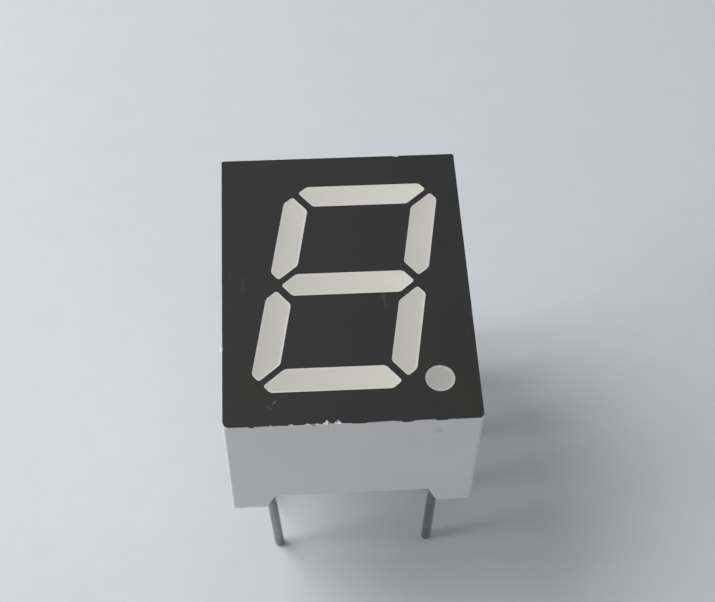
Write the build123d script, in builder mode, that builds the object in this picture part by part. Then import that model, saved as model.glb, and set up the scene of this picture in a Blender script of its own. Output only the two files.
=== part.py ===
from build123d import *
import os
from math import copysign, radians, sqrt, tan

# Single-digit seven segment display, in millimetres.
# The origin is the middle of the pin grid on the seating plane, +Y is the top of the digit, +Z the face.

# Moulded reflector housing
body_width = 10.0
body_height = 13.0
body_depth = 7.0
body_corner_radius = 0.12
wall = 0.8
cavity_corner_radius = 0.45
foot_width = 1.45
notch_height = 1.0
notch_flank_run = 0.38
ink_thickness = 0.05
overrun = 1.0

# Digit as it stands on the face, measured before it is slanted
digit_width = 6.45
digit_height = 10.0
digit_slant = 10.0
digit_shift_x = 0.10
digit_shift_y = -0.06
stroke = 1.05
corner_chamfer = 0.845
corner_gap = 0.29
bar_end_inset = 0.525
waist_gap = 0.30
waist_tip_rise = 0.27
tip_chamfer = 0.07
dot_diameter = 1.16
dot_step = 0.22
dot_rise = 0.30

# Light wells: straight at the face, then tapered down to the board
well_land = 0.3
well_side_run = 0.2
well_end_run = 1.1
dot_floor_diameter = 0.8
dot_floor_shift = 0.25

# Circuit board, sealed in from the back
potting_margin = 0.15
potting_thickness = 0.65
board_thickness = 0.8
board_clearance = 0.05
copper_thickness = 0.035
track_width = 0.25
pad_size = 0.34
land_diameter = 0.62
land_sides = 8
common_bar_drop = 0.7
dot_track_reach = 1.65
bar_track_rise = 3.4

# LED dice and their bond wires
die_size = 0.25
die_height = 0.18
die_offset = 0.3
dot_die_offset = 0.2
bond_wire_diameter = 0.03
bond_wire_sides = 6
bond_loop_rise = 0.12

# Pins: tinned wire, five to a column, with the two at the foot of the digit sprung inwards
pins_per_column = 5
pin_side_distance = 1.19
pin_end_distance = 1.42
pin_wire_diameter = 0.40
tin_coat = 0.015
pin_length = 6.75
pin_straight_share = 0.03
pin_knee_share = 0.42
sprung_tip_height = 0.04
left_knee_offset = 0.42
left_tip_offset = 0.61
right_knee_offset = -0.18
right_tip_offset = -0.21

# Levels above the seating plane
ink_level = body_depth - ink_thickness
potting_level = notch_height + potting_margin
board_level = potting_level + potting_thickness
board_top = board_level + board_thickness
copper_top = board_top + copper_thickness
die_top = copper_top + die_height
bond_loop_top = die_top + bond_loop_rise

# Lines that the segments end on, in the upright digit
half_width = digit_width / 2
half_height = digit_height / 2
bar_length = digit_width - 2 * bar_end_inset
inner_width = half_width - stroke
inner_height = half_height - stroke
chamfer_sum = half_width + half_height - corner_chamfer
cap_mitre = inner_height - inner_width + corner_gap / sqrt(2)
side_mitre = inner_height - inner_width - corner_gap / sqrt(2)
waist_sum = bar_length / 2 + waist_gap * sqrt(2)
waist_tip = waist_sum - waist_tip_rise

# Decimal point by the foot of the digit, and the pin grid set in from the sides of the body
dot_x = half_width + dot_step
dot_y = dot_rise - half_height
column_spacing = body_width - 2 * pin_side_distance
column_length = body_height - 2 * pin_end_distance
pin_pitch = column_length / (pins_per_column - 1)

# The top segment, the upper right segment and the middle bar in the upright digit
cap_half = [
    (chamfer_sum - half_height, half_height),
    ((chamfer_sum - cap_mitre) / 2, (chamfer_sum + cap_mitre) / 2),
    (inner_height - cap_mitre, inner_height),
]
cap_outline = cap_half + [(-u, v) for u, v in reversed(cap_half)]
side_outline = [
    (half_width, chamfer_sum - half_width),
    ((chamfer_sum - side_mitre) / 2, (chamfer_sum + side_mitre) / 2),
    (inner_width, inner_width + side_mitre),
    (inner_width, waist_sum - inner_width),
    (waist_tip, waist_tip_rise),
    (half_width, waist_tip_rise + half_width - waist_tip),
]
bar_half = [
    (bar_length / 2 - stroke / 2, stroke / 2),
    (bar_length / 2, 0),
    (bar_length / 2 - stroke / 2, -stroke / 2),
]
bar_outline = bar_half + [(-u, v) for u, v in reversed(bar_half)]

# Middles of those segments
cap_middle = (0, half_height - stroke / 2)
side_middle = (half_width - stroke / 2, (chamfer_sum + side_mitre) / 4 + waist_tip_rise / 2)
bar_middle = (0, 0)

# Each segment: its outline, its middle, how it is mirrored, the way from die to bond pad, and its pin
segments = {
    "a": (cap_outline, cap_middle, (1, 1), (1, 0), 10),
    "b": (side_outline, side_middle, (1, 1), (0, 1), 9),
    "c": (side_outline, side_middle, (1, -1), (0, -1), 7),
    "d": (cap_outline, cap_middle, (1, -1), (-1, 0), 5),
    "e": (side_outline, side_middle, (-1, -1), (0, -1), 4),
    "f": (side_outline, side_middle, (-1, 1), (0, 1), 2),
    "g": (bar_outline, bar_middle, (1, 1), (-1, 0), 1),
}
dot_pin_number = pins_per_column + 1
middle_pin_number = (pins_per_column + 1) // 2
common_pin_numbers = (middle_pin_number, middle_pin_number + pins_per_column)


def slant(u, v):
    """Place a point of the upright digit on the slanted one."""
    return Vector(digit_shift_x + u + v * tan(radians(digit_slant)), digit_shift_y + v)


def pin_place(number):
    """Centre of a numbered pin: down the left column from the top, then up the right one."""
    column_top = column_length / 2
    if number <= pins_per_column:
        return Vector(-column_spacing / 2, column_top - pin_pitch * (number - 1))
    return Vector(column_spacing / 2, pin_pitch * (number - pins_per_column - 1) - column_top)


def floor_point(point, middle, upright):
    """Point of a well's floor under a point of its face, so that each wall stays flat."""
    across, along = (0, 1) if upright else (1, 0)
    offsets = [point[0] - middle[0], point[1] - middle[1]]
    narrowed = max(abs(offsets[across]) - (stroke / 2 - well_side_run), 0)
    offsets[across] -= copysign(narrowed, offsets[across])
    offsets[along] -= copysign(well_end_run - narrowed, offsets[along])
    return middle[0] + offsets[0], middle[1] + offsets[1]


def cut_tips(outline):
    """Outline with a small flat across each of its corners."""
    corners = [Vector(point) for point in outline]
    flats = []
    for before, corner, after in zip(corners[-1:] + corners[:-1], corners, corners[1:] + corners[:1]):
        flats.append(corner + (before - corner).normalized() * tip_chamfer)
        flats.append(corner + (after - corner).normalized() * tip_chamfer)
    return flats


def segment_well(outline, middle, mirrors):
    """Solid that fills a segment's well, from the board up to the face."""
    floor_outline = [floor_point(point, middle, outline is side_outline) for point in outline]
    face_points = cut_tips(slant(u * mirrors[0], v * mirrors[1]) for u, v in outline)
    floor_points = cut_tips(slant(u * mirrors[0], v * mirrors[1]) for u, v in floor_outline)
    throat = [Vector(point.X, point.Y, body_depth - well_land) for point in face_points]
    floor = [Vector(point.X, point.Y, copper_top) for point in floor_points]
    walls = [
        Wire.make_polygon([throat[i - 1], throat[i], floor[i], floor[i - 1]]) for i in range(len(floor))
    ]
    ends = [Wire.make_polygon(throat), Wire.make_polygon(floor)]
    funnel = Solid(Shell([Face(wire) for wire in walls + ends]))
    with BuildPart() as well:
        with BuildSketch(Plane.XY.offset(body_depth)):
            Polygon(*face_points)
        extrude(amount=-well_land)
        add(funnel)
    return well.part


def dot_well():
    """Solid that fills the decimal point's well, which leans away from the nearest pin."""
    with BuildPart() as well:
        with BuildSketch(Plane.XY.offset(body_depth)):
            with Locations((dot_x, dot_y)):
                Circle(dot_diameter / 2)
        extrude(amount=-well_land)
        with BuildSketch(Plane.XY.offset(body_depth - well_land)):
            with Locations((dot_x, dot_y)):
                Circle(dot_diameter / 2)
        with BuildSketch(Plane.XY.offset(copper_top)):
            with Locations((dot_x - dot_floor_shift, dot_y + dot_floor_shift)):
                Circle(dot_floor_diameter / 2)
        loft(ruled=True)
    return well.part


# Wells, and the die and bond pad on the floor of each
wells = {}
die_places = {}
pad_places = {}
pin_numbers = {}
for name, (outline, middle, mirrors, way, pin_number) in segments.items():
    wells[name] = segment_well(outline, middle, mirrors)
    middle_u = middle[0] * mirrors[0]
    middle_v = middle[1] * mirrors[1]
    die_places[name] = slant(middle_u - way[0] * die_offset, middle_v - way[1] * die_offset)
    pad_places[name] = slant(middle_u + way[0] * die_offset, middle_v + way[1] * die_offset)
    pin_numbers[name] = pin_number
wells["dot"] = dot_well()
dot_floor = Vector(dot_x - dot_floor_shift, dot_y + dot_floor_shift)
to_dot_pin = (pin_place(dot_pin_number) - dot_floor).normalized()
die_places["dot"] = dot_floor - to_dot_pin * dot_die_offset
pad_places["dot"] = dot_floor + to_dot_pin * dot_die_offset
pin_numbers["dot"] = dot_pin_number
pin_places = {number: pin_place(number) for number in range(1, 2 * pins_per_column + 1)}

# Reflector housing: open at the back, with a notch between the feet at each end
with BuildPart() as reflector_housing:
    with BuildSketch():
        RectangleRounded(body_width, body_height, body_corner_radius)
    extrude(amount=ink_level)
    with BuildSketch():
        RectangleRounded(body_width - 2 * wall, body_height - 2 * wall, cavity_corner_radius)
    extrude(amount=copper_top, mode=Mode.SUBTRACT)
    with BuildSketch(Plane.XZ):
        notch_half = body_width / 2 - foot_width
        Polygon(
            (-notch_half, 0),
            (notch_half, 0),
            (notch_half - notch_flank_run, notch_height),
            (notch_flank_run - notch_half, notch_height),
        )
    extrude(amount=body_height / 2 + overrun, both=True, mode=Mode.SUBTRACT)
    for well in wells.values():
        add(well, mode=Mode.SUBTRACT)

# Dark ink on the face, open over each well
with BuildPart() as face_ink:
    with BuildSketch(Plane.XY.offset(ink_level)):
        RectangleRounded(body_width, body_height, body_corner_radius)
    extrude(amount=ink_thickness)
    for well in wells.values():
        add(well, mode=Mode.SUBTRACT)

# Circuit board with its copper: one track to each pin, and a common bar under all the dice
common_level = digit_shift_y - common_bar_drop
common_left, common_right = (pin_places[number] for number in common_pin_numbers)
with BuildPart() as circuit_board:
    with BuildSketch(Plane.XY.offset(board_level)):
        RectangleRounded(
            body_width - 2 * (wall + board_clearance),
            body_height - 2 * (wall + board_clearance),
            cavity_corner_radius - board_clearance,
        )
    extrude(amount=board_thickness)
    with BuildSketch(Plane.XY.offset(board_top)):
        for name, pad in pad_places.items():
            with BuildLine():
                if name == "g":
                    Polyline(pad, (pad.X, digit_shift_y + bar_track_rise), pin_places[pin_numbers[name]])
                else:
                    Line(pad, pin_places[pin_numbers[name]])
            trace(line_width=track_width)
        for name, die in die_places.items():
            with BuildLine():
                if name == "dot":
                    turn = die.X - dot_track_reach
                    Polyline(die, (turn, die.Y), (turn, common_level))
                else:
                    Line(die, (die.X, common_level))
            trace(line_width=track_width)
        with BuildLine():
            Polyline(
                common_left,
                (die_places["e"].X, common_level),
                (die_places["b"].X, common_level),
                common_right,
            )
        trace(line_width=track_width)
        with Locations(*die_places.values(), *pad_places.values()):
            Rectangle(pad_size, pad_size)
        with Locations(*pin_places.values()):
            RegularPolygon(land_diameter / 2, land_sides)
    extrude(amount=copper_thickness)
    with BuildSketch(Plane.XY.offset(board_level)):
        with Locations(*pin_places.values()):
            Circle(pin_wire_diameter / 2)
    extrude(amount=board_thickness + copper_thickness, mode=Mode.SUBTRACT)


def led_die(place):
    """Chip that sits on the common copper at the floor of a well."""
    with BuildPart() as die:
        with BuildSketch(Plane.XY.offset(copper_top)):
            with Locations(place):
                Rectangle(die_size, die_size)
        extrude(amount=die_height)
    return die.part


def bond_wire(die, pad):
    """Wire that rises from the top of a die and comes down on its bond pad."""
    with BuildPart() as wire:
        with BuildLine() as route:
            Polyline(
                (die.X, die.Y, die_top),
                (die.X, die.Y, bond_loop_top),
                (pad.X, pad.Y, bond_loop_top),
                (pad.X, pad.Y, copper_top),
            )
        with BuildSketch(Plane(origin=(die.X, die.Y, die_top), z_dir=(0, 0, 1))):
            RegularPolygon(bond_wire_diameter / 2, bond_wire_sides)
        sweep(path=route.wire(), transition=Transition.RIGHT)
    return wire.part


def segment_fill(well, die, wire):
    """Milky resin cast in a well, round its die and bond wire."""
    with BuildPart() as fill:
        add(well)
        add(die, mode=Mode.SUBTRACT)
        add(wire, mode=Mode.SUBTRACT)
    return fill.part


def pin(place, knee_offset, tip_offset):
    """Wire pin: a plain shank in the board, then a tinned tail below the seating plane."""
    tail_diameter = pin_wire_diameter + 2 * tin_coat
    with BuildPart() as pin_wire:
        with BuildSketch():
            with Locations(place):
                Circle(pin_wire_diameter / 2)
        extrude(amount=copper_top)
        if tip_offset:
            with BuildLine() as route:
                Polyline(
                    (place.X, place.Y, 0),
                    (place.X, place.Y, -pin_length * pin_straight_share),
                    (place.X + knee_offset, place.Y, -pin_length * pin_knee_share),
                    (place.X + tip_offset, place.Y, sprung_tip_height - pin_length),
                )
            with BuildSketch():
                with Locations(place):
                    Circle(tail_diameter / 2)
            sweep(path=route.wire(), transition=Transition.RIGHT)
        else:
            with BuildSketch():
                with Locations(place):
                    Circle(tail_diameter / 2)
            extrude(amount=-pin_length)
    return pin_wire.part


pin_offsets = {number: (0, 0) for number in pin_places}
pin_offsets[pins_per_column] = (left_knee_offset, left_tip_offset)
pin_offsets[pins_per_column + 1] = (right_knee_offset, right_tip_offset)

dice = {name: led_die(place) for name, place in die_places.items()}
bond_wires = {name: bond_wire(die_places[name], pad_places[name]) for name in wells}
fills = {name: segment_fill(wells[name], dice[name], bond_wires[name]) for name in wells}
pins = {number: pin(place, *pin_offsets[number]) for number, place in pin_places.items()}

# Resin that seals the board into the housing, up to just above the notches
with BuildPart() as back_potting:
    with BuildSketch(Plane.XY.offset(potting_level)):
        RectangleRounded(body_width - 2 * wall, body_height - 2 * wall, cavity_corner_radius)
    extrude(amount=potting_thickness)
    for number in pin_places:
        add(pins[number], mode=Mode.SUBTRACT)

pieces = {
    "reflector_housing": reflector_housing.part,
    "face_ink": face_ink.part,
    "circuit_board": circuit_board.part,
    "back_potting": back_potting.part,
}
for name in wells:
    fill_name = "decimal_point" if name == "dot" else f"segment_{name}"
    pieces[fill_name] = fills[name]
    pieces[f"led_die_{name}"] = dice[name]
    pieces[f"bond_wire_{name}"] = bond_wires[name]
for number in pin_places:
    pieces[f"pin_{number}"] = pins[number]

os.makedirs("parts", exist_ok=True)
for name, piece in pieces.items():
    piece.label = name
    export_step(piece, f"parts/{name}.step")
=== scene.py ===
"""Portrait of a single-digit seven segment display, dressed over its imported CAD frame.

The CAD nodes give every size and place. The housing, the ink, the resin fills and the potting are worked
copies of their nodes, the pins are modelled anew, and the parts inside keep their CAD shapes.
"""

import sys

import logging
import math
from collections.abc import Callable, Iterable, Iterator
from contextlib import contextmanager
from dataclasses import dataclass, field
from enum import Enum
from itertools import pairwise
from typing import Any

import bmesh
import bpy
from mathutils import Matrix, Vector, noise

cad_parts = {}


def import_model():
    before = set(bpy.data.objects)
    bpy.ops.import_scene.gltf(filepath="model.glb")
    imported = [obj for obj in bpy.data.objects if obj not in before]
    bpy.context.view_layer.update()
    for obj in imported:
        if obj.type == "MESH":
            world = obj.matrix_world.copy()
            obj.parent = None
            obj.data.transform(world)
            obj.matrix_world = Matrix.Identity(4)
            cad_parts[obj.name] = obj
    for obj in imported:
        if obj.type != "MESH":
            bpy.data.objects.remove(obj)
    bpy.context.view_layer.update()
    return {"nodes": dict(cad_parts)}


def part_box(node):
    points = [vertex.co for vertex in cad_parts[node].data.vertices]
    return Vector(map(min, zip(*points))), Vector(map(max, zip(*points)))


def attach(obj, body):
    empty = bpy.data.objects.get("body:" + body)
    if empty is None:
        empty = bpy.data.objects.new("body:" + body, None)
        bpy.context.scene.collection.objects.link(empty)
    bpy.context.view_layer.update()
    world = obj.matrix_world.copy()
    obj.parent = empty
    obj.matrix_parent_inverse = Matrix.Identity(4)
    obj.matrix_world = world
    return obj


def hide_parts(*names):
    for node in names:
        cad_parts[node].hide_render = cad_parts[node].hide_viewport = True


LOG = logging.getLogger("seven_segment_display")
MM = 0.001
BODY = "root"
# Pale surround that the camera and the mirroring metal see
SURROUND = "#E9ECEF"
SURROUND_STRENGTH = 0.9
# Half sizes and height of the printed face in millimetres
HALF_WIDTH = 5.0
HALF_HEIGHT = 6.5
FACE_LEVEL = 7.0
# Points this near in metres are one point, and heights this near are one level
MERGE = 0.0005 * MM
SLACK = 0.0001 * MM
# Least upright part of a level face's normal, and the turn in degrees within which faces are one plane
LEVEL_NORMAL = 0.99
FLAT_TURN = 0.5
# Facets of a rounded edge
ROUND_STEPS = 3
# Share of a soft spot's reach that has its whole strength
SPOT_CORE = 0.2
# Attribute that is one at the rim of a resin fill, where the painted highlight is drawn
RIM_HIGHLIGHT = "rim"

Piece = bpy.types.Object
Pieces = dict[str, Piece]
Material = bpy.types.Material
Tree = bpy.types.NodeTree
Node = bpy.types.Node
Socket = bpy.types.NodeSocket
Pair = tuple[float, float]
Point = tuple[float, float, float]


class Slot(Enum):
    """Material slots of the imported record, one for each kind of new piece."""

    HOUSING = "white_housing"
    INK = "face_ink"
    SEGMENT = "segment_resin"
    DOT = "dot_resin"
    POTTING = "potting_resin"
    WIRE = "tinned_wire"


class Element(Enum):
    """Kinds of mesh element that an edit-mode selection picks."""

    VERT = "verts"
    EDGE = "edges"
    FACE = "faces"


class Edge(Enum):
    """Sides of the printed face, as the way that each one looks out."""

    FRONT = (0, -1)
    BACK = (0, 1)
    LEFT = (-1, 0)
    RIGHT = (1, 0)

    @property
    def out(self) -> Vector:
        """Way that the side looks."""
        return Vector((*self.value, 0))

    @property
    def line(self) -> Vector:
        """Way along the side."""
        return Vector((abs(self.value[1]), abs(self.value[0]), 0))

    @property
    def reach(self) -> float:
        """Distance of the side from the middle of the face in millimetres."""
        return HALF_HEIGHT if self.value[1] else HALF_WIDTH

    def holds(self, place: Vector) -> bool:
        """Say whether a point of the face lies on this side."""
        return place.dot(self.out) > self.reach * MM - SLACK


def linear(colour: str) -> tuple[float, float, float, float]:
    """Turn an sRGB hex colour into linear values.

    Args:
        colour: A colour such as "#C5C3BA".

    Returns:
        Red, green, blue and an alpha of one.
    """
    parts = [int(colour[i : i + 2], 16) / 255 for i in (1, 3, 5)]
    red, green, blue = (p / 12.92 if p <= 0.04045 else ((p + 0.055) / 1.055) ** 2.4 for p in parts)
    return red, green, blue, 1.0


def per_size(size: float) -> float:
    """Texture scale of a pattern whose marks are about this many millimetres across."""
    return 1.0 / (size * MM)


def fill(node: Node, inputs: dict[Any, Any]) -> None:
    """Set or link inputs of a node.

    Args:
        node: The node.
        inputs: Values or output sockets, by input name or number.
    """
    for key, value in inputs.items():
        if isinstance(value, Socket):
            node.id_data.links.new(value, node.inputs[key])
        else:
            node.inputs[key].default_value = value


def add_node(tree: Tree, kind: str, inputs: dict[Any, Any], output: str = "", **settings: Any) -> Socket:
    """Add a node, set its properties, and set or link its inputs.

    Args:
        tree: The node tree that takes it.
        kind: The node's type after the word ShaderNode, such as "Bump".
        inputs: Values or output sockets, by input name or number.
        output: The wanted output, where it isn't the first one in use.
        **settings: Properties of the node itself.

    Returns:
        That output.
    """
    made = tree.nodes.new(f"ShaderNode{kind}")
    for key, value in settings.items():
        setattr(made, key, value)
    fill(made, inputs)
    return made.outputs[output] if output else next(socket for socket in made.outputs if socket.enabled)


def seen_rays(tree: Tree) -> Socket:
    """Add nodes that tell the rays a viewer follows from those that only carry light.

    Args:
        tree: The node tree that takes them.

    Returns:
        One for a ray from the camera or one that is mirrored or let through, and else nothing.
    """
    seen = add_node(tree, "LightPath", {}, "Is Camera Ray")
    for kind in ("Is Glossy Ray", "Is Transmission Ray"):
        other = add_node(tree, "LightPath", {}, kind)
        seen = add_node(tree, "Math", {0: seen, 1: other}, operation="MAXIMUM")
    return seen


def start_material(name: str, **constants: Any) -> tuple[Material, Tree, Node, Socket]:
    """Start a material with the numbers that are the same all over its surface.

    Args:
        name: What the material is.
        **constants: Values of the shader's own sockets, with spaces written as underscores.

    Returns:
        The material, its node tree, its shader and the object coordinates.
    """
    material = bpy.data.materials.new(name)
    material.use_nodes = True
    tree = material.node_tree
    shader = tree.nodes["Principled BSDF"]
    fill(shader, {key.replace("_", " "): value for key, value in constants.items()})
    return material, tree, shader, add_node(tree, "TexCoord", {}, "Object")


def clouded(
    tree: Tree, place: Socket, size: float, start: str, end: str, detail: float
) -> tuple[Socket, Socket]:
    """Blend two colours by a cloudy pattern.

    Args:
        tree: The material's node tree.
        place: Object coordinates.
        size: Width of the clouds in millimetres.
        start: Colour where the pattern is nothing.
        end: Colour where it is one.
        detail: How many finer layers the pattern has.

    Returns:
        The pattern and the colour.
    """
    cloud = add_node(tree, "TexNoise", {"Vector": place, "Scale": per_size(size), "Detail": detail})
    colours = {"Factor": cloud, "A": linear(start), "B": linear(end)}
    return cloud, add_node(tree, "Mix", colours, data_type="RGBA")


@dataclass(frozen=True)
class Relief:
    """Fine relief of a surface: width and depth of its marks in millimetres, and how strongly it shows."""

    width: float
    depth: float
    strength: float

    @property
    def scale(self) -> float:
        """Texture scale of its pattern."""
        return per_size(self.width)


def lay(shader: Node, tone: Socket, cloud: Socket, gloss: Pair, height: Socket, relief: Relief) -> None:
    """Lay a colour, a clouded gloss and a fine relief on a shader.

    Args:
        shader: The material's shader.
        tone: The colour.
        cloud: Pattern that the gloss follows.
        gloss: Roughness where that pattern is nothing, and where it is one.
        height: Pattern of the relief.
        relief: Depth and strength of the relief.
    """
    tree = shader.id_data
    rough = add_node(tree, "MapRange", {"Value": cloud, "To Min": gloss[0], "To Max": gloss[1]})
    bump = add_node(
        tree, "Bump", {"Height": height, "Strength": relief.strength, "Distance": relief.depth * MM}
    )
    fill(shader, {"Base Color": tone, "Roughness": rough, "Normal": bump})


@dataclass(frozen=True)
class Spot:
    """A soft mark: its middle and half sizes in millimetres, its turn in degrees and its strength."""

    middle: Point
    reach: Point
    turn: float
    strength: float

    def mark(self, tree: Tree, place: Socket) -> Socket:
        """Add nodes that mark the spot on a surface.

        Args:
            tree: The material's node tree.
            place: Object coordinates.

        Returns:
            A value that falls from the strength to nothing at the spot's border.
        """
        inputs = {
            "Vector": place,
            "Location": Vector(self.middle) * MM,
            "Rotation": (0.0, 0.0, math.radians(self.turn)),
            "Scale": Vector(self.reach) * MM,
        }
        near = add_node(tree, "Mapping", inputs, vector_type="TEXTURE")
        away = add_node(tree, "VectorMath", {0: near}, operation="LENGTH")
        fall = {"Value": away, "From Min": 1.0, "From Max": SPOT_CORE, "To Max": self.strength}
        return add_node(tree, "MapRange", fall, interpolation_type="SMOOTHSTEP")


def take(piece: Piece) -> None:
    """Make a piece the active one, and the only one that is selected."""
    bpy.ops.object.select_all(action="DESELECT")
    piece.select_set(True)
    bpy.context.view_layer.objects.active = piece


@contextmanager
def editing(piece: Piece) -> Iterator[None]:
    """Hold a piece alone in edit mode.

    Args:
        piece: The object.
    """
    take(piece)
    bpy.ops.object.mode_set(mode="EDIT")
    try:
        yield
    finally:
        bpy.ops.object.mode_set(mode="OBJECT")


def select(piece: Piece, kind: Element, test: Callable[[Any], bool]) -> None:
    """Select the elements of a piece in edit mode that pass a test.

    Args:
        piece: The object in edit mode.
        kind: Whether vertices, edges or faces are picked.
        test: Takes one element and says whether it is picked.
    """
    bpy.ops.mesh.select_mode(type=kind.name)
    bpy.ops.mesh.select_all(action="DESELECT")
    mesh = bmesh.from_edit_mesh(piece.data)
    for item in [item for item in getattr(mesh, kind.value) if test(item)]:
        item.select_set(True)
    mesh.select_flush_mode()
    bmesh.update_edit_mesh(piece.data)


def select_level(piece: Piece, height: float, up: int) -> None:
    """Select the level faces of a piece in edit mode that lie at one height.

    Args:
        piece: The object in edit mode.
        height: The height in metres.
        up: One for faces that look up, and minus one for those that look down.
    """
    select(
        piece,
        Element.FACE,
        lambda face: face.normal.z * up > LEVEL_NORMAL
        and all(abs(vert.co.z - height) < SLACK for vert in face.verts),
    )


def shift(piece: Piece, moves: dict[int, Vector]) -> None:
    """Move vertices of a piece in edit mode, each by its own way.

    Args:
        piece: The object in edit mode.
        moves: The ways in metres, by the vertex's number.
    """
    for index, move in moves.items():
        select(piece, Element.VERT, lambda vert: vert.index == index)
        bpy.ops.transform.translate(value=move)


def apply_modifier(piece: Piece, kind: str, **settings: Any) -> None:
    """Add a modifier to a piece and apply it.

    Args:
        piece: The object that takes it.
        kind: The modifier's type, such as "BEVEL".
        **settings: Properties of the modifier.
    """
    modifier = piece.modifiers.new(kind.lower(), kind)
    for key, value in settings.items():
        setattr(modifier, key, value)
    take(piece)
    bpy.ops.object.modifier_apply(modifier=modifier.name)


def copy_node(node: Piece, name: str) -> Piece:
    """Copy a CAD node into a new piece, with its loose triangles merged.

    Args:
        node: The CAD node's object.
        name: Name of the new piece.

    Returns:
        The new piece.
    """
    piece = bpy.data.objects.new(name, node.data.copy())
    bpy.context.scene.collection.objects.link(piece)
    piece.data.materials.clear()
    with editing(piece):
        bpy.ops.mesh.select_all(action="SELECT")
        bpy.ops.mesh.customdata_custom_splitnormals_clear()
        bpy.ops.mesh.remove_doubles(threshold=MERGE)
    return piece


def smooth(piece: Piece, angle: float) -> None:
    """Shade a piece smooth where its faces meet at less than an angle in degrees."""
    take(piece)
    bpy.ops.object.shade_smooth_by_angle(angle=math.radians(angle))


def settle(piece: Piece, slot: Slot, material: Material, node: str) -> None:
    """Give a finished piece its material and body, and name the CAD node it stands for.

    Args:
        piece: The finished piece.
        slot: The record's material slot; not used.
        material: The material it wears.
        node: CAD node that it replaces.
    """
    piece.data.materials.clear()
    piece.data.materials.append(material)
    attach(piece, BODY)
    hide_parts(node)
    LOG.info("%s: %d faces, for %s", piece.name, len(piece.data.polygons), node)


@dataclass(frozen=True)
class WhitePlastic:
    """White polycarbonate, injection moulded: even and faintly grained, with a low sheen and one smudge."""

    colour: str = "#E4E4E4"
    shade: str = "#DCDCDD"
    soiled: str = "#A9A8A6"
    mottle: float = 2.6
    gloss: Pair = (0.40, 0.52)
    # Twice as coarse as the mould's own grain, which would be lost between pixels
    grain: Relief = Relief(width=0.11, depth=0.004, strength=0.4)
    smudge: Spot = Spot((3.27, -6.5, 6.13), (0.27, 0.3, 0.38), 0.0, 0.26)

    def material(self) -> Material:
        """Make the material.

        Returns:
            The material.
        """
        material, tree, shader, place = start_material(
            "moulded_white_polycarbonate",
            IOR=1.58,
            Subsurface_Weight=0.12,
            Subsurface_Radius=(1.0, 0.95, 0.9),
            Subsurface_Scale=0.25 * MM,
        )
        mottle, tone = clouded(tree, place, self.mottle, self.colour, self.shade, detail=3.0)
        smudge = {"Factor": self.smudge.mark(tree, place), "A": tone, "B": linear(self.soiled)}
        handled = add_node(tree, "Mix", smudge, data_type="RGBA")
        grain = add_node(tree, "TexNoise", {"Vector": place, "Scale": self.grain.scale, "Detail": 2.0})
        lay(shader, handled, mottle, self.gloss, grain, self.grain)
        return material


@dataclass(frozen=True)
class SatinInk:
    """Dark grey screen ink, printed on plastic: satin, slightly clouded, with rubbed marks."""

    colour: str = "#28292B"
    cloud: str = "#2F2D2A"
    rubbed: str = "#6A6A66"
    cloud_size: float = 3.0
    gloss: Pair = (0.46, 0.60)
    # Coarser than the print's own grain, which would be lost between pixels
    grain: Relief = Relief(width=0.09, depth=0.003, strength=0.35)
    scuffs: tuple[Spot, ...] = (
        Spot((-3.02, -5.50, FACE_LEVEL), (0.19, 0.06, 1.0), 56.0, 1.00),
        Spot((-3.20, -5.72, FACE_LEVEL), (0.08, 0.18, 1.0), 40.0, 0.40),
        Spot((1.53, -0.93, FACE_LEVEL), (0.10, 0.46, 1.0), 4.0, 0.36),
        Spot((-4.15, 0.05, FACE_LEVEL), (0.12, 0.50, 1.0), 0.0, 0.28),
        Spot((-4.67, 0.45, FACE_LEVEL), (0.07, 0.26, 1.0), 0.0, 0.20),
        Spot((4.72, -2.60, FACE_LEVEL), (0.07, 0.14, 1.0), 10.0, 0.24),
    )

    def material(self) -> Material:
        """Make the material.

        Returns:
            The material.
        """
        material, tree, shader, place = start_material("satin_screen_ink", IOR=1.5, Specular_IOR_Level=0.2)
        cloud, tone = clouded(tree, place, self.cloud_size, self.colour, self.cloud, detail=4.0)
        grain = add_node(tree, "TexNoise", {"Vector": place, "Scale": self.grain.scale, "Detail": 3.0})
        rubbed: Socket | float = 0.0
        for scuff in self.scuffs:
            patchy = {0: scuff.mark(tree, place), 1: grain, 2: rubbed}
            rubbed = add_node(tree, "Math", patchy, operation="MULTIPLY_ADD", use_clamp=True)
        wear = {"Factor": rubbed, "A": tone, "B": linear(self.rubbed)}
        worn = add_node(tree, "Mix", wear, data_type="RGBA")
        lay(shader, worn, cloud, self.gloss, grain, self.grain)
        return material


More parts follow.
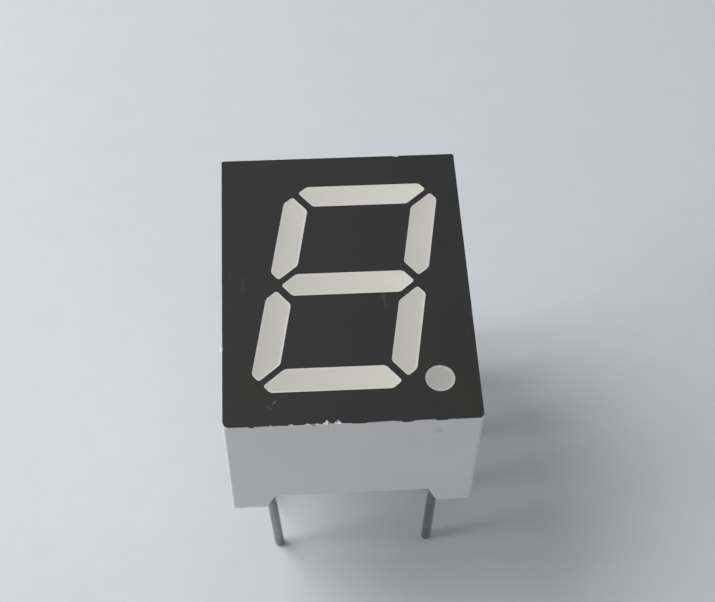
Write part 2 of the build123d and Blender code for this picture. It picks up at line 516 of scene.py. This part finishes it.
@dataclass(frozen=True)
class MilkyResin:
    """Diffusing epoxy, cast in a well: cloudy and pale, with a painted highlight along the well's rim and
    painted light that grows lighter towards one side.
    """

    name: str
    start: str
    end: str
    rim: str
    # Way along which the resin is drawn lighter, and the length in millimetres over which it grows: a painted
    # light falloff across the digit
    way: Point
    falloff_span: float
    gloss: Pair = (0.30, 0.44)
    cloud: Relief = Relief(width=0.9, depth=0.006, strength=0.2)
    cloud_share: float = 0.2

    def material(self) -> Material:
        """Make the material.

        Returns:
            The material.
        """
        material, tree, shader, place = start_material(
            self.name,
            IOR=1.51,
            Subsurface_Weight=0.25,
            Subsurface_Radius=(1.0, 0.95, 0.8),
            Subsurface_Scale=0.3 * MM,
        )
        cloud = add_node(tree, "TexNoise", {"Vector": place, "Scale": self.cloud.scale, "Detail": 3.0})
        # Painted light falloff: the colour grows lighter along the way, towards one side of the digit
        along = add_node(tree, "VectorMath", {0: place, 1: self.way}, operation="DOT_PRODUCT")
        half = self.falloff_span / 2 * MM
        painted_falloff = add_node(tree, "MapRange", {"Value": along, "From Min": -half, "From Max": half})
        cloud_and_falloff = {0: cloud, 1: self.cloud_share, 2: painted_falloff}
        blend = add_node(tree, "Math", cloud_and_falloff, operation="MULTIPLY_ADD", use_clamp=True)
        colours = {"Factor": blend, "A": linear(self.start), "B": linear(self.end)}
        tone = add_node(tree, "Mix", colours, data_type="RGBA")
        # Painted highlight: the colour is lighter towards the rim of the fill
        edge = add_node(tree, "Attribute", {}, "Fac", attribute_name=RIM_HIGHLIGHT)
        lit = add_node(tree, "Mix", {"Factor": edge, "A": tone, "B": linear(self.rim)}, data_type="RGBA")
        lay(shader, lit, cloud, self.gloss, cloud, self.cloud)
        return material


@dataclass(frozen=True)
class PottingEpoxy:
    """Poured sealing epoxy: off-white, glossy, with slow waves and a few trapped bubbles, and painted shade
    where they dip.
    """

    colour: str = "#D6D2C6"
    # Painted shade, laid where the waves and bubbles dip
    painted_trough_shade: str = "#C6C1B2"
    wave: Relief = Relief(width=1.8, depth=0.03, strength=0.5)
    bubble: float = 0.8
    bubble_rim: Pair = (0.05, 0.12)

    def material(self) -> Material:
        """Make the material.

        Returns:
            The material.
        """
        material, tree, shader, place = start_material(
            "poured_sealing_epoxy",
            IOR=1.52,
            Roughness=0.16,
            Subsurface_Weight=0.3,
            Subsurface_Radius=(1.0, 0.9, 0.7),
            Subsurface_Scale=0.4 * MM,
        )
        wave = add_node(tree, "TexNoise", {"Vector": place, "Scale": self.wave.scale, "Detail": 1.0})
        bubble = add_node(tree, "TexVoronoi", {"Vector": place, "Scale": per_size(self.bubble)})
        inner, outer = self.bubble_rim
        speck = add_node(tree, "MapRange", {"Value": bubble, "From Min": inner, "From Max": outer})
        # Painted shade: the colour darkens where the relief of waves and bubbles is low
        depth = add_node(tree, "Math", {0: wave, 1: speck}, operation="MULTIPLY")
        colours = {"Factor": depth, "A": linear(self.painted_trough_shade), "B": linear(self.colour)}
        tone = add_node(tree, "Mix", colours, data_type="RGBA")
        waves = {"Height": depth, "Strength": self.wave.strength, "Distance": self.wave.depth * MM}
        fill(shader, {"Base Color": tone, "Normal": add_node(tree, "Bump", waves)})
        return material


@dataclass(frozen=True)
class DrawnMetal:
    """Drawn wire with a thin metal coat: lengthwise die lines, and duller where it has been handled."""

    name: str
    colour: str
    dull: str
    smear: float
    gloss: Pair
    # Coarser than the die's own lines, which would be lost between pixels
    lines: Relief
    stretch: float = 0.06

    def material(self) -> Material:
        """Make the material.

        Returns:
            The material.
        """
        material, tree, shader, place = start_material(self.name, Metallic=1.0)
        drawn = add_node(tree, "Mapping", {"Vector": place, "Scale": (1.0, 1.0, self.stretch)})
        line = add_node(tree, "TexNoise", {"Vector": drawn, "Scale": self.lines.scale, "Detail": 3.0})
        smear, tone = clouded(tree, place, self.smear, self.colour, self.dull, detail=3.0)
        lay(shader, tone, smear, self.gloss, line, self.lines)
        return material


@dataclass(frozen=True)
class BoardLaminate:
    """Glass epoxy laminate with raised tinned copper: a woven, yellowish sheet under bright tracks."""

    sheet: str = "#A8A27A"
    weave_shade: str = "#978F66"
    copper: str = "#B9A184"
    thread: float = 0.35
    copper_from: float = 2.61

    def material(self) -> Material:
        """Make the material.

        Returns:
            The material.
        """
        material, tree, shader, place = start_material("glass_epoxy_laminate", IOR=1.55, Roughness=0.42)
        weave = add_node(tree, "TexChecker", {"Vector": place, "Scale": per_size(self.thread)}, "Fac")
        threads = {"Factor": weave, "A": linear(self.sheet), "B": linear(self.weave_shade)}
        sheet = add_node(tree, "Mix", threads, data_type="RGBA")
        level = add_node(tree, "SeparateXYZ", {"Vector": place}, "Z")
        raised = add_node(tree, "Math", {0: level, 1: self.copper_from * MM}, operation="GREATER_THAN")
        tracks = {"Factor": raised, "A": sheet, "B": linear(self.copper)}
        tone = add_node(tree, "Mix", tracks, data_type="RGBA")
        fill(shader, {"Base Color": tone, "Metallic": raised})
        return material


@dataclass(frozen=True)
class LedCrystal:
    """Sawn gallium arsenide die: dark grey, with a fine sawn texture on its sides."""

    colour: str = "#4A4844"
    sawn: str = "#6C685F"
    saw_mark: float = 0.03

    def material(self) -> Material:
        """Make the material.

        Returns:
            The material.
        """
        material, tree, shader, place = start_material("sawn_led_die", IOR=2.4, Roughness=0.35)
        _, tone = clouded(tree, place, self.saw_mark, self.colour, self.sawn, detail=2.0)
        fill(shader, {"Base Color": tone})
        return material


@dataclass(frozen=True)
class PaleFloor:
    """Matt pale board under the display, which a viewer sees fade into the surround far out."""

    colour: str = "#DFE3E7"
    shade: str = "#DADEE3"
    tooth: float = 1.4
    fade_start: float = 55.0
    fade_end: float = 200.0

    def material(self) -> Material:
        """Make the material.

        Returns:
            The material.
        """
        material, tree, shader, place = start_material(
            "matt_pale_board", Roughness=0.9, Specular_IOR_Level=0.1
        )
        _, tone = clouded(tree, place, self.tooth, self.colour, self.shade, detail=2.0)
        fill(shader, {"Base Color": tone})
        away = add_node(tree, "VectorMath", {0: place}, operation="LENGTH")
        far = {"Value": away, "From Min": self.fade_start * MM, "From Max": self.fade_end * MM}
        fade = add_node(tree, "MapRange", far, interpolation_type="SMOOTHSTEP")
        share = add_node(tree, "Math", {0: fade, 1: seen_rays(tree)}, operation="MULTIPLY")
        pale = add_node(tree, "Emission", {"Color": linear(SURROUND), "Strength": SURROUND_STRENGTH})
        mixed = add_node(tree, "MixShader", {0: share, 1: shader.outputs["BSDF"], 2: pale})
        fill(tree.nodes["Material Output"], {"Surface": mixed})
        return material


@dataclass(frozen=True)
class Chip:
    """A bite out of the face's edge: its side, place along it, width, reach inwards and reach down."""

    edge: Edge
    along: float
    width: float
    bite: float
    drop: float


@dataclass(frozen=True)
class WornCorner:
    """A rubbed corner of the face: the way it points, the reach of its wear and how far its tip is gone."""

    x: int
    y: int
    reach: float
    depth: float


@dataclass
class EdgeChips:
    """Bites along the face's edge, cut from the ink and the plastic under it, and one torn fleck."""

    chips: tuple[Chip, ...] = (
        Chip(Edge.FRONT, -3.96, 0.20, 0.02, 0.03),
        Chip(Edge.FRONT, -3.19, 0.12, 0.05, 0.06),
        Chip(Edge.FRONT, -2.46, 0.09, 0.06, 0.05),
        Chip(Edge.FRONT, -2.39, 0.12, 0.09, 0.07),
        Chip(Edge.FRONT, -1.20, 1.60, 0.025, 0.03),
        Chip(Edge.FRONT, -1.86, 0.11, 0.05, 0.08),
        Chip(Edge.FRONT, -1.77, 0.15, 0.08, 0.13),
        Chip(Edge.FRONT, -1.58, 0.14, 0.06, 0.10),
        Chip(Edge.FRONT, -1.47, 0.17, 0.08, 0.13),
        Chip(Edge.FRONT, -1.36, 0.10, 0.05, 0.06),
        Chip(Edge.FRONT, -1.15, 0.13, 0.11, 0.08),
        Chip(Edge.FRONT, -1.05, 0.18, 0.17, 0.10),
        Chip(Edge.FRONT, -0.95, 0.12, 0.09, 0.07),
        Chip(Edge.FRONT, -0.70, 0.11, 0.12, 0.08),
        Chip(Edge.FRONT, -0.61, 0.16, 0.16, 0.11),
        Chip(Edge.FRONT, -0.52, 0.10, 0.07, 0.06),
        Chip(Edge.FRONT, 1.25, 0.90, 0.03, 0.04),
        Chip(Edge.BACK, 2.42, 0.13, 0.05, 0.05),
        Chip(Edge.BACK, 2.54, 0.18, 0.07, 0.07),
        Chip(Edge.LEFT, -2.97, 0.26, 0.03, 0.05),
    )
    corners: tuple[WornCorner, ...] = (
        WornCorner(-1, -1, 0.23, 0.09),
        WornCorner(1, -1, 0.18, 0.08),
    )
    fleck: Chip = Chip(Edge.LEFT, -2.97, 0.28, 0.085, 0.045)
    fleck_level: float = 6.90
    roughness: float = 0.22

    def lump(self, number: int, chip: Chip, level: float) -> Piece:
        """Model one rough lump of a chip's size.

        Args:
            number: Seed of its roughness.
            chip: The chip.
            level: Height of its middle.

        Returns:
            The lump.
        """
        out, line = chip.edge.out, chip.edge.line
        middle = out * chip.edge.reach + line * chip.along
        size = Vector([along * chip.width / 2 + abs(across) * chip.bite for along, across in zip(line, out)])
        bpy.ops.object.select_all(action="DESELECT")
        bpy.ops.mesh.primitive_ico_sphere_add(subdivisions=2, radius=MM)
        lump = bpy.context.object
        with editing(lump):
            bpy.ops.mesh.select_all(action="SELECT")
            bpy.ops.transform.vertex_random(offset=self.roughness * MM, uniform=0.6, normal=0.2, seed=number)
            bpy.ops.transform.resize(value=(size.x, size.y, chip.drop))
            bpy.ops.transform.translate(value=(middle.x * MM, middle.y * MM, level * MM))
        return lump

    def wear(self, piece: Piece) -> None:
        """Cut the bites out of the housing, and leave the fleck standing on its edge.

        Args:
            piece: The housing.
        """
        cuts = [("DIFFERENCE", chip, FACE_LEVEL) for chip in self.chips]
        for number, (way, chip, level) in enumerate([*cuts, ("UNION", self.fleck, self.fleck_level)]):
            lump = self.lump(number, chip, level)
            apply_modifier(piece, "BOOLEAN", object=lump, operation=way, solver="EXACT")
            bpy.data.objects.remove(lump)


@dataclass
class Housing:
    """Moulded reflector housing, with its foot edges rounded and the chips cut from its face edge."""

    foot_reach: float = 1.02
    edge_round: float = 0.05
    sharp: float = 35.0
    finish: WhitePlastic = WhitePlastic()

    def build(self, nodes: Pieces, chips: EdgeChips) -> None:
        """Model and dress the housing from its CAD node.

        Args:
            nodes: The CAD nodes.
            chips: The edge chips.
        """
        piece = copy_node(nodes["reflector_housing"], "worn_housing")
        with editing(piece):
            bpy.ops.mesh.select_all(action="SELECT")
            bpy.ops.mesh.dissolve_limited(angle_limit=math.radians(FLAT_TURN))
            select(piece, Element.EDGE, self.is_foot_edge)
            bpy.ops.mesh.bevel(offset=self.edge_round * MM, segments=ROUND_STEPS, clamp_overlap=True)
        chips.wear(piece)
        smooth(piece, self.sharp)
        apply_modifier(piece, "WEIGHTED_NORMAL", keep_sharp=True)
        settle(piece, Slot.HOUSING, self.finish.material(), "reflector_housing")

    def is_foot_edge(self, edge: bmesh.types.BMEdge) -> bool:
        """Say whether an edge is a sharp one of the feet or of the notches between them."""
        low = all(vert.co.z < self.foot_reach * MM for vert in edge.verts)
        return low and edge.is_manifold and edge.calc_face_angle() > math.radians(self.sharp)


@dataclass(frozen=True)
class Wander:
    """A cloudy push to and fro: width of its clouds in millimetres, their layers and where it rests."""

    size: float
    layers: int
    rest: float

    def push(self, piece: Piece, group: str, direction: str, depth: float, lean: float = 0.0) -> None:
        """Push a group of a piece's points.

        Args:
            piece: The piece.
            group: Name of the group.
            direction: Axis of the push.
            depth: Whole depth of the push in millimetres.
            lean: How far it leans from where it rests.
        """
        pattern = bpy.data.textures.new(f"ink_{group}", "CLOUDS")
        pattern.noise_scale = self.size * MM
        pattern.noise_depth = self.layers
        apply_modifier(
            piece,
            "DISPLACE",
            texture=pattern,
            texture_coords="LOCAL",
            direction=direction,
            vertex_group=group,
            mid_level=self.rest + lean,
            strength=depth * MM,
        )


@dataclass(frozen=True)
class Run:
    """A place where the ink ran over the front edge: its middle, width and depth."""

    along: float
    width: float
    depth: float


@dataclass
class FaceInk:
    """Printed ink on the face: a thin sheet with a ragged rim, gone where the plastic under it is chipped."""

    thickness: float = 0.05
    long_edge: float = 1.0
    rim_cuts: int = 100
    front_cuts: int = 3
    rag: Wander = Wander(size=0.4, layers=4, rest=0.5)
    rag_lean: float = 0.3
    rag_depths: tuple[tuple[Edge, float], ...] = (
        (Edge.FRONT, 0.045),
        (Edge.BACK, 0.018),
        (Edge.LEFT, 0.014),
        (Edge.RIGHT, 0.014),
    )
    skirt: Wander = Wander(size=0.6, layers=3, rest=0.6)
    skirt_depth: float = 0.05
    tear: float = 0.55
    tear_size: float = 0.06
    sliver: float = 0.0005
    # Film by which a run stands in front of the wall
    film: float = 0.004
    runs: tuple[Run, ...] = (
        Run(-3.90, 0.24, 0.04),
        Run(0.20, 0.60, 0.03),
        Run(2.05, 0.50, 0.07),
        Run(3.38, 0.48, 0.045),
    )
    sharp: float = 30.0
    finish: SatinInk = SatinInk()

    def build(self, nodes: Pieces, chips: EdgeChips) -> None:
        """Model and dress the ink from its CAD node.

        Args:
            nodes: The CAD nodes.
            chips: The chips along its edge.
        """
        piece = copy_node(nodes["face_ink"], "worn_face_ink")
        low = max(vert.co.z for vert in piece.data.vertices) - self.thickness * MM
        with editing(piece):
            select(piece, Element.FACE, lambda face: face.normal.z < LEVEL_NORMAL)
            bpy.ops.mesh.delete(type="FACE")
            select(
                piece,
                Element.EDGE,
                lambda edge: edge.calc_length() > self.long_edge * MM and self.on_rim(edge, Edge),
            )
            bpy.ops.mesh.subdivide(number_cuts=self.rim_cuts)
            select(piece, Element.EDGE, lambda edge: self.on_rim(edge, [Edge.FRONT]))
            bpy.ops.mesh.subdivide(number_cuts=self.front_cuts)
        for edge, depth in self.rag_depths:
            group = piece.vertex_groups.new(name=edge.name)
            group.add([v.index for v in piece.data.vertices if edge.holds(v.co)], 1.0, "REPLACE")
            axis = "Y" if edge.out.y else "X"
            self.rag.push(piece, edge.name, axis, depth, self.rag_lean * sum(edge.value))
        with editing(piece):
            for chip in chips.chips:
                self.bite(piece, chip)
            for corner in chips.corners:
                self.rub(piece, corner)
            self.lay_anew(piece)
        apply_modifier(piece, "SOLIDIFY", thickness=self.thickness * MM, offset=-1.0)
        self.drip(piece, low)
        smooth(piece, self.sharp)
        apply_modifier(piece, "WEIGHTED_NORMAL", keep_sharp=True)
        settle(piece, Slot.INK, self.finish.material(), "face_ink")

    def on_rim(self, edge: bmesh.types.BMEdge, sides: Iterable[Edge]) -> bool:
        """Say whether an edge of the sheet runs along one of these sides of its rim."""
        return edge.is_boundary and any(all(side.holds(v.co) for v in edge.verts) for side in sides)

    def bite(self, piece: Piece, chip: Chip) -> None:
        """Pull the rim in where a chip took the ink.

        Args:
            piece: The flat sheet in edit mode.
            chip: The chip.
        """
        out = chip.edge.out
        group = piece.vertex_groups[chip.edge.name].index
        mesh = bmesh.from_edit_mesh(piece.data)
        layer = mesh.verts.layers.deform.verify()
        moves: dict[int, Vector] = {}
        for vert in mesh.verts:
            share = abs(vert.co.dot(chip.edge.line) - chip.along * MM) / (chip.width / 2 * MM)
            if group in vert[layer] and share < 1:
                torn = 1 + self.tear * noise.noise(vert.co / (self.tear_size * MM))
                gone = chip.edge.reach * MM - vert.co.dot(out)
                depth = chip.bite * MM * torn * math.sqrt(1 - share**2) - gone
                moves[vert.index] = -out * max(depth, 0.0)
        shift(piece, moves)

    def rub(self, piece: Piece, corner: WornCorner) -> None:
        """Draw the rim in round a worn corner.

        Args:
            piece: The flat sheet in edit mode.
            corner: The corner.
        """
        tip = Vector((corner.x * HALF_WIDTH, corner.y * HALF_HEIGHT, 0)) * MM
        inwards = Vector((-corner.x, -corner.y, 0)).normalized()
        moves: dict[int, Vector] = {}
        for vert in bmesh.from_edit_mesh(piece.data).verts:
            share = 1 - (vert.co - tip).xy.length / (corner.reach * MM)
            if share > 0:
                moves[vert.index] = inwards * corner.depth * MM * share
        shift(piece, moves)

    def lay_anew(self, piece: Piece) -> None:
        """Lay the sheet anew inside its rim, because its triangles fold over where the rim is bitten.

        Args:
            piece: The flat sheet in edit mode.
        """
        select(piece, Element.EDGE, lambda edge: not edge.is_boundary)
        bpy.ops.mesh.delete(type="EDGE")
        bpy.ops.mesh.select_all(action="SELECT")
        bpy.ops.mesh.fill(use_beauty=True)
        bpy.ops.mesh.dissolve_degenerate(threshold=self.sliver * MM)
        select(piece, Element.FACE, lambda face: face.normal.z < 0)
        bpy.ops.mesh.flip_normals()

    def drip(self, piece: Piece, low: float) -> None:
        """Let the rim's lower line wander up and down the walls, and run over the front edge in places.

        Args:
            piece: The solid sheet.
            low: Height of its underside in metres.
        """
        verts = piece.data.vertices
        hem = [v.index for v in verts if abs(v.co.z - low) < SLACK and any(g.weight > 0 for g in v.groups)]
        piece.vertex_groups.new(name="drip").add(hem, 1.0, "REPLACE")
        self.skirt.push(piece, "drip", "Z", self.skirt_depth)
        front = piece.vertex_groups[Edge.FRONT.name].index
        moves: dict[int, Vector] = {}
        for vert in piece.data.vertices:
            if not any(g.group == front for g in vert.groups):
                continue
            for run in self.runs:
                share = abs(vert.co.x / MM - run.along) / (run.width / 2)
                if share < 1:
                    fall = run.depth * (1 - share**4) if vert.index in hem else 0.0
                    forward = -HALF_HEIGHT - self.film - vert.co.y / MM
                    moves[vert.index] = Vector((0, forward, -fall)) * MM
        with editing(piece):
            shift(piece, moves)


@dataclass
class Digit:
    """Resin fills of the seven segments and the decimal point, each slightly sunk inside its rim."""

    letters: str = "abcdefg"
    bars: str = "adg"
    # Width and drop of each ring, and how near its points are merged round the tips
    rings: tuple[Pair, ...] = ((0.03, 0.004), (0.04, 0.004), (0.05, 0.004))
    merge: float = 0.018
    # How far the middle sinks further, and the least length of the edges that meet there
    dish: float = 0.003
    dish_reach: float = 0.2
    sharp: float = 30.0
    # The last colour of each resin is its painted rim highlight, and each resin is drawn lighter along its
    # way as a painted light falloff
    bar: MilkyResin = MilkyResin(
        "milky_epoxy_bar", "#CBCAC3", "#DEDDD3", "#E6E5DD", way=(1.0, 0.1, 0.0), falloff_span=6.0
    )
    upright: MilkyResin = MilkyResin(
        "milky_epoxy_upright", "#C5C4BC", "#D1CFC7", "#E0DFD9", way=(0.4, 1.0, 0.0), falloff_span=9.0
    )
    dot: MilkyResin = MilkyResin(
        "milky_epoxy_point", "#AAABA7", "#B2B3AF", "#C9C9C5", way=(1.0, 0.0, 0.0), falloff_span=10.0
    )

    def build(self, nodes: Pieces) -> None:
        """Model and dress every fill from its CAD node.

        Args:
            nodes: The CAD nodes.
        """
        bar, upright, dot = self.bar.material(), self.upright.material(), self.dot.material()
        for letter in self.letters:
            name = f"segment_{letter}"
            look = bar if letter in self.bars else upright
            settle(self.sink(nodes[name], name), Slot.SEGMENT, look, name)
        settle(self.sink(nodes["decimal_point"], "decimal_point"), Slot.DOT, dot, "decimal_point")

    def sink(self, node: Piece, name: str) -> Piece:
        """Model one fill, its top sunk in rings and its rim marked for the painted highlight.

        Args:
            node: The CAD node.
            name: Name of that node.

        Returns:
            The finished piece.
        """
        piece = copy_node(node, f"{name}_resin")
        top = max(vert.co.z for vert in piece.data.vertices)
        depth = sum(drop for _, drop in self.rings) * MM
        floor = top - depth
        with editing(piece):
            select_level(piece, top, 1)
            bpy.ops.mesh.dissolve_limited(angle_limit=math.radians(FLAT_TURN))
            for width, drop in self.rings:
                bpy.ops.mesh.inset(thickness=width * MM, use_even_offset=True)
                bpy.ops.mesh.remove_doubles(threshold=self.merge * MM)
                bpy.ops.transform.translate(value=(0, 0, -drop * MM))
            bpy.ops.mesh.poke(offset=0.0)
            select(
                piece,
                Element.VERT,
                lambda vert: abs(vert.co.z - floor) < SLACK
                and all(edge.calc_length() > self.dish_reach * MM for edge in vert.link_edges),
            )
            bpy.ops.transform.translate(value=(0, 0, -self.dish * MM))
        rim = piece.data.attributes.new(RIM_HIGHLIGHT, "FLOAT", "POINT")
        rim.data.foreach_set("value", [max((v.co.z - floor) / depth, 0.0) for v in piece.data.vertices])
        smooth(piece, self.sharp)
        return piece


@dataclass
class BackPotting:
    """Sealing resin in the back, which creeps a little way up the pins and the walls."""

    # Width and rise of each ring of the creep, from the walls and pins inwards
    rings: tuple[Pair, ...] = ((0.02, 0.04), (0.025, 0.025), (0.03, 0.01))
    sharp: float = 40.0
    finish: PottingEpoxy = PottingEpoxy()

    def build(self, nodes: Pieces) -> None:
        """Model and dress the potting from its CAD node, with the creep at its rims.

        Args:
            nodes: The CAD nodes.
        """
        piece = copy_node(nodes["back_potting"], "poured_potting")
        low = min(vert.co.z for vert in piece.data.vertices)
        level = low
        with editing(piece):
            for width, rise in self.rings:
                select_level(piece, level, -1)
                bpy.ops.mesh.inset(thickness=width * MM, use_even_offset=True)
                bpy.ops.transform.translate(value=(0, 0, rise * MM))
                # The triangles between the pin holes fold over as the rims close in, so they are laid anew
                bpy.ops.mesh.delete(type="FACE")
                select(piece, Element.EDGE, lambda edge: edge.is_boundary)
                bpy.ops.mesh.fill(use_beauty=True)
                bpy.ops.mesh.select_all(action="SELECT")
                bpy.ops.mesh.normals_make_consistent(inside=False)
                level += rise * MM
            select(piece, Element.VERT, lambda vert: vert.co.z < level + SLACK)
            bpy.ops.transform.translate(value=(0, 0, low - level))
        smooth(piece, self.sharp)
        settle(piece, Slot.POTTING, self.finish.material(), "back_potting")


@dataclass
class PinWires:
    """Ten tinned wire pins: straight ones, and the two at the foot of the digit that are sprung inwards."""

    count: int = 10
    radius: float = 0.215
    shank_radius: float = 0.20
    sides: int = 28
    tip_round: float = 0.05
    rings: int = 26
    ring_gap: float = 0.002
    straight_depth: float = 0.2
    knee_depth: float = 2.84
    # How far the knee and the tip of each sprung pin stand in from its hole
    springs: dict[int, Pair] = field(default_factory=lambda: {5: (0.42, 0.61), 6: (-0.18, -0.21)})
    sharp: float = 35.0
    # The wire's colours are set darker than bright tin: painted shade, for the shaded floor that the pins
    # mirror
    finish: DrawnMetal = DrawnMetal(
        "tinned_steel_wire", "#9FA0A3", "#7A7C80", 0.7, (0.13, 0.25), Relief(0.05, 0.004, 0.2)
    )

    def build(self, nodes: Pieces) -> None:
        """Model and dress every pin at the place of its CAD node.

        Args:
            nodes: The CAD nodes.
        """
        material = self.finish.material()
        for number in range(1, self.count + 1):
            name = f"pin_{number}"
            piece = self.wire(name, nodes[name], self.springs.get(number))
            settle(piece, Slot.WIRE, material, name)

    def wire(self, name: str, node: Piece, spring: Pair | None) -> Piece:
        """Model one pin.

        Args:
            name: Name of the CAD node.
            node: The CAD node.
            spring: How far the knee and the tip stand in from the hole, for a sprung pin.

        Returns:
            The finished piece.
        """
        low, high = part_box(name)
        hole = [vert.co for vert in node.data.vertices if vert.co.z > high.z - SLACK]
        middle = sum(hole, Vector()) / len(hole)
        length = -low.z
        bpy.ops.object.select_all(action="DESELECT")
        bpy.ops.mesh.primitive_cylinder_add(
            vertices=self.sides,
            radius=self.radius * MM,
            depth=length,
            location=(middle.x, middle.y, -length / 2),
        )
        piece = bpy.context.object
        piece.name = f"{name}_wire"
        bpy.ops.object.transform_apply(location=True, rotation=True, scale=True)
        with editing(piece):
            select_level(piece, 0.0, 1)
            bpy.ops.mesh.inset(thickness=(self.radius - self.shank_radius) * MM)
            bpy.ops.mesh.extrude_region_move(TRANSFORM_OT_translate={"value": (0, 0, high.z)})
            select(piece, Element.EDGE, lambda edge: all(v.co.z < low.z + SLACK for v in edge.verts))
            bpy.ops.mesh.bevel(offset=self.tip_round * MM, segments=ROUND_STEPS)
            if spring:
                select(
                    piece,
                    Element.EDGE,
                    lambda edge: abs(edge.verts[0].co.z - edge.verts[1].co.z) > length / 2,
                )
                bpy.ops.mesh.subdivide(number_cuts=self.rings)
                self.spring(piece, length, spring)
        smooth(piece, self.sharp)
        return piece

    def spring(self, piece: Piece, length: float, spring: Pair) -> None:
        """Push the rings of a pin aside, so that it bends smoothly.

        Args:
            piece: The pin in edit mode.
            length: Length of its tail in metres.
            spring: How far the knee and the tip stand in from the hole.
        """
        gap = self.ring_gap * MM
        heights = sorted(v.co.z for v in bmesh.from_edit_mesh(piece.data).verts if v.co.z < -gap)
        levels = heights[:1] + [high for low, high in pairwise(heights) if high - low > gap]
        for level in levels:
            select(piece, Element.VERT, lambda vert: abs(vert.co.z - level) < gap)
            bpy.ops.transform.translate(value=(self.aside(-level / MM, length / MM, *spring) * MM, 0, 0))

    def aside(self, depth: float, length: float, knee: float, tip: float) -> float:
        """Way that a sprung pin stands aside at a depth below the seating plane.

        Args:
            depth: Depth in millimetres.
            length: Length of the tail.
            knee: Way aside at the knee.
            tip: Way aside at the tip.

        Returns:
            The way aside in millimetres.
        """
        lean = (tip - knee) / (length - self.knee_depth)
        if depth > self.knee_depth:
            return knee + lean * (depth - self.knee_depth)
        bend = self.knee_depth - self.straight_depth
        share = max(depth - self.straight_depth, 0.0) / bend
        return knee * (3 * share**2 - 2 * share**3) + lean * bend * (share**3 - share**2)


@dataclass
class BoardStack:
    """Circuit board, dice and bond wires inside the housing, which keep their CAD shapes."""

    board: BoardLaminate = BoardLaminate()
    die: LedCrystal = LedCrystal()
    bond: DrawnMetal = DrawnMetal(
        "bond_wire_gold", "#C9A24A", "#B08B3C", 0.1, (0.22, 0.34), Relief(0.02, 0.004, 0.2)
    )

    def dress(self, nodes: Pieces) -> None:
        """Give the inner nodes their materials.

        Args:
            nodes: The CAD nodes.
        """
        looks = {
            "circuit_board": self.board.material(),
            "led_die": self.die.material(),
            "bond_wire": self.bond.material(),
        }
        for name, node in nodes.items():
            for start, material in looks.items():
                if name.startswith(start):
                    node.data.materials.clear()
                    node.data.materials.append(material)
                    LOG.info("%s keeps its CAD shape, with %s", name, material.name)


@dataclass(frozen=True)
class SoftLight:
    """An area lamp: its name, place, the point it looks at, its width in millimetres and its watts."""

    name: str
    place: Point
    target: Point
    width: float
    power: float

    def build(self) -> None:
        """Add the lamp."""
        lamp = bpy.data.lights.new(self.name, "AREA")
        lamp.shape = "DISK"
        lamp.size = self.width * MM
        lamp.energy = self.power
        holder = bpy.data.objects.new(self.name, lamp)
        bpy.context.scene.collection.objects.link(holder)
        holder.location = Vector(self.place) * MM
        holder.rotation_euler = (Vector(self.target) - Vector(self.place)).to_track_quat("-Z", "Y").to_euler()


@dataclass
class Studio:
    """Floor, lamps, surroundings and camera of the portrait."""

    floor_width: float = 2400.0
    floor_level: float = -6.75
    floor: PaleFloor = PaleFloor()
    lamps: tuple[SoftLight, ...] = (
        SoftLight("high_key", (-95.0, 45.0, 145.0), (0.0, 0.0, 0.0), 120.0, 0.192),
        SoftLight("left_strip", (-165.0, -22.0, 45.0), (0.0, 0.0, 3.0), 60.0, 0.12),
    )
    ambient_colour: str = "#FFFFFF"
    ambient: float = 0.272
    camera_place: Point = (-2.0438, -32.5477, 54.2655)
    heading: float = -4.4897
    elevation: float = 56.164
    roll: float = 1.562
    focal_pixels: float = 1416.8
    image_width: float = 715.0
    sensor: float = 36.0

    def build(self) -> None:
        """Set up the whole studio."""
        self.build_floor()
        self.build_world()
        for lamp in self.lamps:
            lamp.build()
        self.build_camera()

    def build_floor(self) -> None:
        """Lay the floor under the pin tips."""
        bpy.ops.object.select_all(action="DESELECT")
        bpy.ops.mesh.primitive_plane_add(size=self.floor_width * MM, location=(0, 0, self.floor_level * MM))
        floor = bpy.context.object
        floor.name = "studio_floor"
        bpy.ops.object.transform_apply(location=True, rotation=True, scale=True)
        floor.data.materials.append(self.floor.material())

    def build_world(self) -> None:
        """Light the scene evenly, with a pale surround where the camera or a reflection sees it."""
        world = bpy.data.worlds.new("pale_surround")
        bpy.context.scene.world = world
        world.use_nodes = True
        tree = world.node_tree
        light = tree.nodes["Background"]
        fill(light, {"Color": linear(self.ambient_colour), "Strength": self.ambient})
        pale = add_node(tree, "Background", {"Color": linear(SURROUND), "Strength": SURROUND_STRENGTH})
        mixed = add_node(tree, "MixShader", {0: seen_rays(tree), 1: light.outputs["Background"], 2: pale})
        fill(tree.nodes["World Output"], {"Surface": mixed})

    def build_camera(self) -> None:
        """Stand the camera where the photograph was taken from."""
        data = bpy.data.cameras.new("portrait_camera")
        data.sensor_fit = "HORIZONTAL"
        data.sensor_width = self.sensor
        data.lens = self.focal_pixels * self.sensor / self.image_width
        data.clip_start = MM
        data.clip_end = self.floor_width * MM
        camera = bpy.data.objects.new("portrait_camera", data)
        bpy.context.scene.collection.objects.link(camera)
        turn = (
            Matrix.Rotation(math.radians(self.heading), 4, "Z")
            @ Matrix.Rotation(math.radians(90 - self.elevation), 4, "X")
            @ Matrix.Rotation(math.radians(self.roll), 4, "Z")
        )
        camera.matrix_world = Matrix.Translation(Vector(self.camera_place) * MM) @ turn
        bpy.context.scene.camera = camera


def main() -> None:
    """Load the frame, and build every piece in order."""
    logging.basicConfig(level=logging.INFO, format="%(name)s: %(message)s", stream=sys.stdout)
    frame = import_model()
    nodes = frame["nodes"]
    bpy.context.scene.view_settings.view_transform = "Standard"
    Studio().build()
    chips = EdgeChips()
    Housing().build(nodes, chips)
    FaceInk().build(nodes, chips)
    Digit().build(nodes)
    BackPotting().build(nodes)
    PinWires().build(nodes)
    BoardStack().dress(nodes)


if __name__ == "__main__":
    main()
